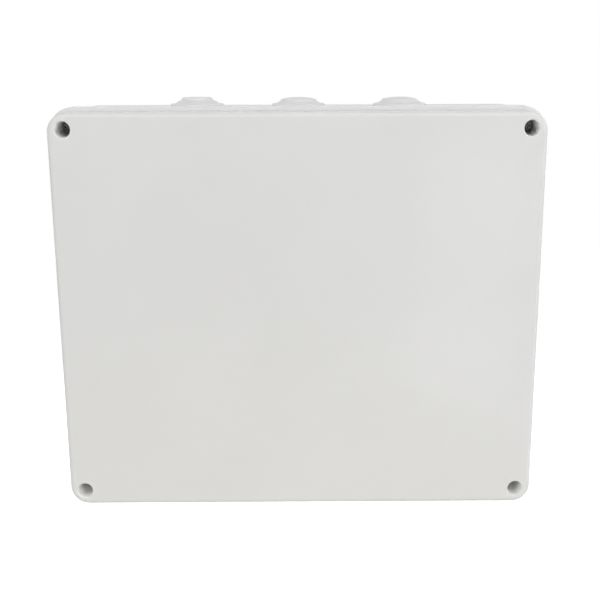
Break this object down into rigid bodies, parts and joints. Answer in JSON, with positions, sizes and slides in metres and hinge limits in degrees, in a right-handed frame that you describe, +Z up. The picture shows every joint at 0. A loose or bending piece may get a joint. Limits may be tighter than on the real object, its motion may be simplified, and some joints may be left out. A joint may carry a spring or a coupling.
{
  "type": "electrical junction box",
  "caption": "Rectangular wall-mounted junction box with a deep screwed lid, captive corner screws in round wells, an inner seal and soft stepped cable grommets on all four sides.",
  "frame": {"origin": "middle of the back face, on the wall", "axes": "+X to the right seen from the front, +Z up, the lid faces -Y"},
  "size_m": [0.3068, 0.12, 0.2568],
  "materials": {
    "base": "light grey moulded ABS",
    "lid": "light grey moulded ABS",
    "lid_gasket": "foamed rubber",
    "grommet": "soft PVC",
    "insert": "turned",
    "ring": "natural nylon",
    "screw": "black zinc plated"
  },
  "bodies": {
    "base": {"base": "base", "thread_insert_top_left": "insert", "thread_insert_top_right": "insert", "thread_insert_bottom_left": "insert", "thread_insert_bottom_right": "insert", "grommet_right_lower": "grommet", "grommet_right_middle": "grommet", "grommet_right_upper": "grommet", "grommet_top_right": "grommet", "grommet_top_middle": "grommet", "grommet_top_left": "grommet", "grommet_left_upper": "grommet", "grommet_left_middle": "grommet", "grommet_left_lower": "grommet", "grommet_bottom_left": "grommet", "grommet_bottom_middle": "grommet", "grommet_bottom_right": "grommet"},
    "lid": {"lid": "lid", "lid_gasket": "lid_gasket"},
    "screw_ring_top_left": {"screw_ring_top_left": "ring"},
    "lid_screw_top_left": {"lid_screw_top_left": "screw"},
    "screw_ring_top_right": {"screw_ring_top_right": "ring"},
    "lid_screw_top_right": {"lid_screw_top_right": "screw"},
    "screw_ring_bottom_left": {"screw_ring_bottom_left": "ring"},
    "lid_screw_bottom_left": {"lid_screw_bottom_left": "screw"},
    "screw_ring_bottom_right": {"screw_ring_bottom_right": "ring"},
    "lid_screw_bottom_right": {"lid_screw_bottom_right": "screw"}
  },
  "joints": [
    {"name": "lid_lift", "type": "slide", "parent": "base", "child": "lid", "axis": [0, -1, 0], "range_m": [0, 0.12]},
    {"name": "screw_advance_top_left", "type": "slide", "parent": "lid", "child": "screw_ring_top_left", "axis": [0, -1, 0], "range_m": [0, 0.0084]},
    {"name": "screw_turn_top_left", "type": "hinge", "parent": "screw_ring_top_left", "child": "lid_screw_top_left", "pos_m": [-0.1385, 0, 0.1135], "axis": [0, -1, 0], "range_deg": [0, 4325]},
    {"name": "screw_advance_top_right", "type": "slide", "parent": "lid", "child": "screw_ring_top_right", "axis": [0, -1, 0], "range_m": [0, 0.0084]},
    {"name": "screw_turn_top_right", "type": "hinge", "parent": "screw_ring_top_right", "child": "lid_screw_top_right", "pos_m": [0.1385, 0, 0.1135], "axis": [0, -1, 0], "range_deg": [0, 4325]},
    {"name": "screw_advance_bottom_left", "type": "slide", "parent": "lid", "child": "screw_ring_bottom_left", "axis": [0, -1, 0], "range_m": [0, 0.0084]},
    {"name": "screw_turn_bottom_left", "type": "hinge", "parent": "screw_ring_bottom_left", "child": "lid_screw_bottom_left", "pos_m": [-0.1385, 0, -0.1135], "axis": [0, -1, 0], "range_deg": [0, 4325]},
    {"name": "screw_advance_bottom_right", "type": "slide", "parent": "lid", "child": "screw_ring_bottom_right", "axis": [0, -1, 0], "range_m": [0, 0.0084]},
    {"name": "screw_turn_bottom_right", "type": "hinge", "parent": "screw_ring_bottom_right", "child": "lid_screw_bottom_right", "pos_m": [0.1385, 0, -0.1135], "axis": [0, -1, 0], "range_deg": [0, 4325]}
  ],
  "couplings": [
    {"joint": "screw_turn_top_left", "follows": "screw_advance_top_left", "rad_per_m": 8976},
    {"joint": "screw_turn_top_right", "follows": "screw_advance_top_right", "rad_per_m": 8976},
    {"joint": "screw_turn_bottom_left", "follows": "screw_advance_bottom_left", "rad_per_m": 8976},
    {"joint": "screw_turn_bottom_right", "follows": "screw_advance_bottom_right", "rad_per_m": 8976}
  ]
}
